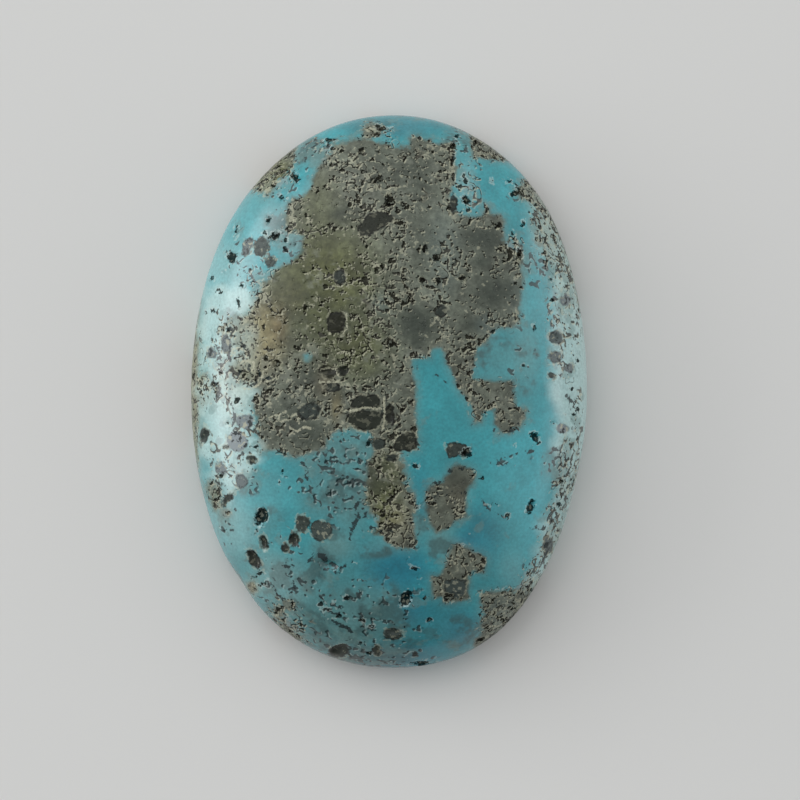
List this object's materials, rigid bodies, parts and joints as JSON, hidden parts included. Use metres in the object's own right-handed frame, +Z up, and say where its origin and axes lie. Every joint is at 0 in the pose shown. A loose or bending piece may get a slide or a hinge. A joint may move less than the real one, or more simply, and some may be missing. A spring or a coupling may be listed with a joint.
{
  "type": "turquoise cabochon",
  "caption": "Oval polished stone of turquoise in its host rock, domed face up on a flat back; a gem or mineral piece to set, display or lay on a surface.",
  "frame": {"origin": "middle of the flat back, at the centre of the oval's bounding box, on the surface that the stone rests on", "axes": "+Z up through the dome, +Y along the stone towards the end with the broad patch of host rock, +X across it"},
  "size_m": [0.02, 0.0278, 0.0064],
  "materials": {
    "turquoise_in_matrix": "polished turquoise with a satin lustre, mottled with duller grey-brown host rock, dark grains and small open pits"
  },
  "bodies": {
    "root": {"turquoise_stone": "turquoise_in_matrix"}
  },
  "joints": []
}
